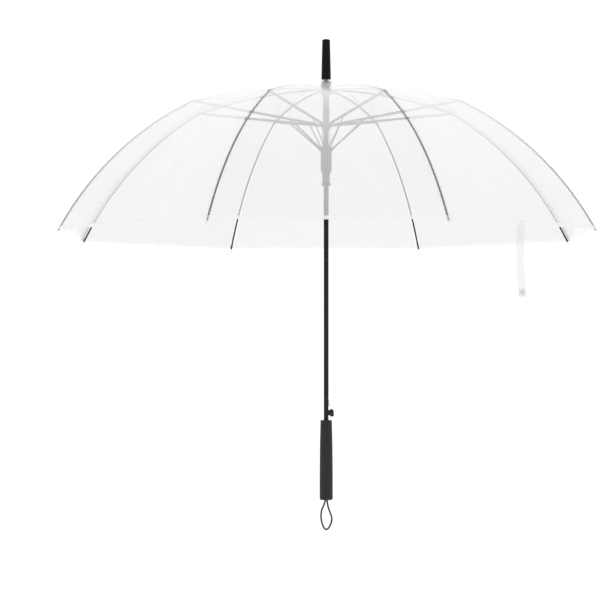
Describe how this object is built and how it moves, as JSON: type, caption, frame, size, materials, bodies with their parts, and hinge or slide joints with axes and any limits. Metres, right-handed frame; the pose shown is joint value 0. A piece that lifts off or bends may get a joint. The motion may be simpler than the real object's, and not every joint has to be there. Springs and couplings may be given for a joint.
{
  "type": "stick umbrella",
  "caption": "Open clear dome stick umbrella with folding ribs, a sliding runner, a sprung release catch and a straight handle with a wrist loop.",
  "frame": {"origin": "on the shaft's axis, half way up the handle (69 mm above its bottom end), where a hand holds it", "axes": "+Z along the shaft towards the ferrule; +X is the side of the release button"},
  "size_m": [0.8994, 0.8994, 0.8521],
  "materials": {
    "black_steel": "black enamel, slightly glossy",
    "black_plastic": "black moulded plastic, glossy",
    "grip_rubber": "dark grey soft-touch grip, matt",
    "black_cord": "braided black cord",
    "clear_plastic": "translucent pale moulded plastic",
    "spring_steel": "bright spring wire",
    "clear_film": "clear slightly milky film, glossy"
  },
  "bodies": {
    "root": {"shaft": "black_steel", "handle_grip": "grip_rubber", "ferrule": "black_plastic", "top_notch": "black_plastic", "canopy_washer": "clear_plastic", "wrist_loop": "black_cord"},
    "catch": {"catch_spring": "spring_steel", "release_button": "black_plastic"},
    "stretcher_hub": {"stretcher_hub": "black_plastic", "opening_spring": "black_steel"},
    "runner": {"runner": "black_plastic"},
    "rib_1": {"rib_arm_1": "black_steel"},
    "rib_end_1": {"rib_rod_1": "black_steel", "tip_cap_1": "clear_plastic", "canopy_gore_1": "clear_film"},
    "stretcher_1": {"stretcher_1": "black_steel"},
    "strut_1": {"strut_1": "black_steel"},
    "rib_2": {"rib_arm_2": "black_steel"},
    "rib_end_2": {"rib_rod_2": "black_steel", "tip_cap_2": "clear_plastic", "canopy_gore_2": "clear_film"},
    "stretcher_2": {"stretcher_2": "black_steel"},
    "strut_2": {"strut_2": "black_steel"},
    "rib_3": {"rib_arm_3": "black_steel"},
    "rib_end_3": {"rib_rod_3": "black_steel", "tip_cap_3": "clear_plastic", "canopy_gore_3": "clear_film"},
    "stretcher_3": {"stretcher_3": "black_steel"},
    "strut_3": {"strut_3": "black_steel"},
    "rib_4": {"rib_arm_4": "black_steel"},
    "rib_end_4": {"rib_rod_4": "black_steel", "tip_cap_4": "clear_plastic", "canopy_gore_4": "clear_film"},
    "stretcher_4": {"stretcher_4": "black_steel"},
    "strut_4": {"strut_4": "black_steel"},
    "rib_5": {"rib_arm_5": "black_steel"},
    "rib_end_5": {"rib_rod_5": "black_steel", "tip_cap_5": "clear_plastic", "canopy_gore_5": "clear_film"},
    "stretcher_5": {"stretcher_5": "black_steel"},
    "strut_5": {"strut_5": "black_steel"},
    "rib_6": {"rib_arm_6": "black_steel"},
    "rib_end_6": {"rib_rod_6": "black_steel", "tip_cap_6": "clear_plastic", "canopy_gore_6": "clear_film"},
    "stretcher_6": {"stretcher_6": "black_steel"},
    "strut_6": {"strut_6": "black_steel"},
    "rib_7": {"rib_arm_7": "black_steel"},
    "rib_end_7": {"rib_rod_7": "black_steel", "tip_cap_7": "clear_plastic", "canopy_gore_7": "clear_film"},
    "stretcher_7": {"stretcher_7": "black_steel"},
    "strut_7": {"strut_7": "black_steel"},
    "rib_8": {"rib_arm_8": "black_steel"},
    "rib_end_8": {"rib_rod_8": "black_steel", "tip_cap_8": "clear_plastic", "canopy_gore_8": "clear_film", "tie_strap": "clear_film"},
    "stretcher_8": {"stretcher_8": "black_steel"},
    "strut_8": {"strut_8": "black_steel"}
  },
  "joints": [
    {"name": "rib_fold_1", "type": "hinge", "parent": "root", "child": "rib_1", "pos_m": [0.00739, 0.00306, 0.643], "axis": [-0.3827, 0.9239, 0], "range_deg": [0, 79.02], "stiffness_Nm_per_rad": 1, "springref_deg": -114.59},
    {"name": "rib_fold_2", "type": "hinge", "parent": "root", "child": "rib_2", "pos_m": [0.00306, 0.00739, 0.643], "axis": [-0.9239, 0.3827, 0], "range_deg": [0, 79.03]},
    {"name": "rib_fold_3", "type": "hinge", "parent": "root", "child": "rib_3", "pos_m": [-0.00306, 0.00739, 0.643], "axis": [-0.9239, -0.3827, 0], "range_deg": [0, 79.03]},
    {"name": "rib_fold_4", "type": "hinge", "parent": "root", "child": "rib_4", "pos_m": [-0.00739, 0.00306, 0.643], "axis": [-0.3827, -0.9239, 0], "range_deg": [0, 79.03]},
    {"name": "rib_fold_5", "type": "hinge", "parent": "root", "child": "rib_5", "pos_m": [-0.00739, -0.00306, 0.643], "axis": [0.3827, -0.9239, 0], "range_deg": [0, 79.03]},
    {"name": "rib_fold_6", "type": "hinge", "parent": "root", "child": "rib_6", "pos_m": [-0.00306, -0.00739, 0.643], "axis": [0.9239, -0.3827, 0], "range_deg": [0, 79.03]},
    {"name": "rib_fold_7", "type": "hinge", "parent": "root", "child": "rib_7", "pos_m": [0.00306, -0.00739, 0.643], "axis": [0.9239, 0.3827, 0], "range_deg": [0, 79.03]},
    {"name": "rib_fold_8", "type": "hinge", "parent": "root", "child": "rib_8", "pos_m": [0.00739, -0.00306, 0.643], "axis": [0.3827, 0.9239, 0], "range_deg": [0, 79.03]},
    {"name": "rod_flex_1", "type": "hinge", "parent": "rib_1", "child": "rib_end_1", "pos_m": [0.22543, 0.09337, 0.612], "axis": [-0.3827, 0.9239, 0], "range_deg": [-32.14, 0], "deforming": ["canopy_gore_1"]},
    {"name": "stretcher_fold_1", "type": "hinge", "parent": "rib_1", "child": "stretcher_1", "pos_m": [0.22543, 0.09337, 0.612], "axis": [-0.3827, 0.9239, 0], "range_deg": [-158.04, 0]},
    {"name": "rod_flex_2", "type": "hinge", "parent": "rib_2", "child": "rib_end_2", "pos_m": [0.09337, 0.22543, 0.612], "axis": [-0.9239, 0.3827, 0], "range_deg": [-32.14, 0], "deforming": ["canopy_gore_2"]},
    {"name": "stretcher_fold_2", "type": "hinge", "parent": "rib_2", "child": "stretcher_2", "pos_m": [0.09337, 0.22543, 0.612], "axis": [-0.9239, 0.3827, 0], "range_deg": [-158.04, 0]},
    {"name": "rod_flex_3", "type": "hinge", "parent": "rib_3", "child": "rib_end_3", "pos_m": [-0.09337, 0.22543, 0.612], "axis": [-0.9239, -0.3827, 0], "range_deg": [-32.14, 0], "deforming": ["canopy_gore_3"]},
    {"name": "stretcher_fold_3", "type": "hinge", "parent": "rib_3", "child": "stretcher_3", "pos_m": [-0.09337, 0.22543, 0.612], "axis": [-0.9239, -0.3827, 0], "range_deg": [-158.04, 0]},
    {"name": "rod_flex_4", "type": "hinge", "parent": "rib_4", "child": "rib_end_4", "pos_m": [-0.22543, 0.09337, 0.612], "axis": [-0.3827, -0.9239, 0], "range_deg": [-32.14, 0], "deforming": ["canopy_gore_4"]},
    {"name": "stretcher_fold_4", "type": "hinge", "parent": "rib_4", "child": "stretcher_4", "pos_m": [-0.22543, 0.09337, 0.612], "axis": [-0.3827, -0.9239, 0], "range_deg": [-158.04, 0]},
    {"name": "rod_flex_5", "type": "hinge", "parent": "rib_5", "child": "rib_end_5", "pos_m": [-0.22543, -0.09337, 0.612], "axis": [0.3827, -0.9239, 0], "range_deg": [-32.14, 0], "deforming": ["canopy_gore_5"]},
    {"name": "stretcher_fold_5", "type": "hinge", "parent": "rib_5", "child": "stretcher_5", "pos_m": [-0.22543, -0.09337, 0.612], "axis": [0.3827, -0.9239, 0], "range_deg": [-158.04, 0]},
    {"name": "rod_flex_6", "type": "hinge", "parent": "rib_6", "child": "rib_end_6", "pos_m": [-0.09337, -0.22543, 0.612], "axis": [0.9239, -0.3827, 0], "range_deg": [-32.14, 0], "deforming": ["canopy_gore_6"]},
    {"name": "stretcher_fold_6", "type": "hinge", "parent": "rib_6", "child": "stretcher_6", "pos_m": [-0.09337, -0.22543, 0.612], "axis": [0.9239, -0.3827, 0], "range_deg": [-158.04, 0]},
    {"name": "rod_flex_7", "type": "hinge", "parent": "rib_7", "child": "rib_end_7", "pos_m": [0.09337, -0.22543, 0.612], "axis": [0.9239, 0.3827, 0], "range_deg": [-32.14, 0], "deforming": ["canopy_gore_7"]},
    {"name": "stretcher_fold_7", "type": "hinge", "parent": "rib_7", "child": "stretcher_7", "pos_m": [0.09337, -0.22543, 0.612], "axis": [0.9239, 0.3827, 0], "range_deg": [-158.04, 0]},
    {"name": "rod_flex_8", "type": "hinge", "parent": "rib_8", "child": "rib_end_8", "pos_m": [0.22543, -0.09337, 0.612], "axis": [0.3827, 0.9239, 0], "range_deg": [-32.14, 0], "deforming": ["canopy_gore_8", "tie_strap"]},
    {"name": "stretcher_fold_8", "type": "hinge", "parent": "rib_8", "child": "stretcher_8", "pos_m": [0.22543, -0.09337, 0.612], "axis": [0.3827, 0.9239, 0], "range_deg": [-158.04, 0]},
    {"name": "hub_level", "type": "hinge", "parent": "stretcher_1", "child": "stretcher_hub", "pos_m": [0.00739, 0.00306, 0.581], "axis": [-0.3827, 0.9239, 0], "range_deg": [0, 79.03]},
    {"name": "runner_slide", "type": "slide", "parent": "stretcher_hub", "child": "runner", "axis": [0, 0, 1], "range_m": [0, 0.0267], "deforming": ["opening_spring"]},
    {"name": "strut_fold_1", "type": "hinge", "parent": "runner", "child": "strut_1", "pos_m": [0.01016, 0.00421, 0.5396], "axis": [-0.3827, 0.9239, 0], "range_deg": [-49.19, 0]},
    {"name": "strut_fold_2", "type": "hinge", "parent": "runner", "child": "strut_2", "pos_m": [0.00421, 0.01016, 0.5396], "axis": [-0.9239, 0.3827, 0], "range_deg": [-49.19, 0]},
    {"name": "strut_fold_3", "type": "hinge", "parent": "runner", "child": "strut_3", "pos_m": [-0.00421, 0.01016, 0.5396], "axis": [-0.9239, -0.3827, 0], "range_deg": [-49.19, 0]},
    {"name": "strut_fold_4", "type": "hinge", "parent": "runner", "child": "strut_4", "pos_m": [-0.01016, 0.00421, 0.5396], "axis": [-0.3827, -0.9239, 0], "range_deg": [-49.19, 0]},
    {"name": "strut_fold_5", "type": "hinge", "parent": "runner", "child": "strut_5", "pos_m": [-0.01016, -0.00421, 0.5396], "axis": [0.3827, -0.9239, 0], "range_deg": [-49.19, 0]},
    {"name": "strut_fold_6", "type": "hinge", "parent": "runner", "child": "strut_6", "pos_m": [-0.00421, -0.01016, 0.5396], "axis": [0.9239, -0.3827, 0], "range_deg": [-49.19, 0]},
    {"name": "strut_fold_7", "type": "hinge", "parent": "runner", "child": "strut_7", "pos_m": [0.00421, -0.01016, 0.5396], "axis": [0.9239, 0.3827, 0], "range_deg": [-49.19, 0]},
    {"name": "strut_fold_8", "type": "hinge", "parent": "runner", "child": "strut_8", "pos_m": [0.01016, -0.00421, 0.5396], "axis": [0.3827, 0.9239, 0], "range_deg": [-49.19, 0]},
    {"name": "button_press", "type": "slide", "parent": "root", "child": "catch", "axis": [-1, 0, 0], "range_m": [0, 0.0022], "stiffness_N_per_m": 600}
  ],
  "couplings": [
    {"joint": "rod_flex_1", "follows": "rib_fold_1", "ratio": -0.40661},
    {"joint": "stretcher_fold_1", "follows": "rib_fold_1", "ratio": -2},
    {"joint": "strut_fold_1", "follows": "rib_fold_1", "ratio": -0.62236},
    {"joint": "rib_fold_2", "follows": "rib_fold_1", "ratio": 1},
    {"joint": "rod_flex_2", "follows": "rib_fold_1", "ratio": -0.40661},
    {"joint": "stretcher_fold_2", "follows": "rib_fold_1", "ratio": -2},
    {"joint": "strut_fold_2", "follows": "rib_fold_1", "ratio": -0.62236},
    {"joint": "rib_fold_3", "follows": "rib_fold_1", "ratio": 1},
    {"joint": "rod_flex_3", "follows": "rib_fold_1", "ratio": -0.40661},
    {"joint": "stretcher_fold_3", "follows": "rib_fold_1", "ratio": -2},
    {"joint": "strut_fold_3", "follows": "rib_fold_1", "ratio": -0.62236},
    {"joint": "rib_fold_4", "follows": "rib_fold_1", "ratio": 1},
    {"joint": "rod_flex_4", "follows": "rib_fold_1", "ratio": -0.40661},
    {"joint": "stretcher_fold_4", "follows": "rib_fold_1", "ratio": -2},
    {"joint": "strut_fold_4", "follows": "rib_fold_1", "ratio": -0.62236},
    {"joint": "rib_fold_5", "follows": "rib_fold_1", "ratio": 1},
    {"joint": "rod_flex_5", "follows": "rib_fold_1", "ratio": -0.40661},
    {"joint": "stretcher_fold_5", "follows": "rib_fold_1", "ratio": -2},
    {"joint": "strut_fold_5", "follows": "rib_fold_1", "ratio": -0.62236},
    {"joint": "rib_fold_6", "follows": "rib_fold_1", "ratio": 1},
    {"joint": "rod_flex_6", "follows": "rib_fold_1", "ratio": -0.40661},
    {"joint": "stretcher_fold_6", "follows": "rib_fold_1", "ratio": -2},
    {"joint": "strut_fold_6", "follows": "rib_fold_1", "ratio": -0.62236},
    {"joint": "rib_fold_7", "follows": "rib_fold_1", "ratio": 1},
    {"joint": "rod_flex_7", "follows": "rib_fold_1", "ratio": -0.40661},
    {"joint": "stretcher_fold_7", "follows": "rib_fold_1", "ratio": -2},
    {"joint": "strut_fold_7", "follows": "rib_fold_1", "ratio": -0.62236},
    {"joint": "rib_fold_8", "follows": "rib_fold_1", "ratio": 1},
    {"joint": "rod_flex_8", "follows": "rib_fold_1", "ratio": -0.40661},
    {"joint": "stretcher_fold_8", "follows": "rib_fold_1", "ratio": -2},
    {"joint": "strut_fold_8", "follows": "rib_fold_1", "ratio": -0.62236},
    {"joint": "hub_level", "follows": "rib_fold_1", "ratio": 1},
    {"joint": "runner_slide", "follows": "rib_fold_1", "m_per_rad": 0.019356}
  ]
}
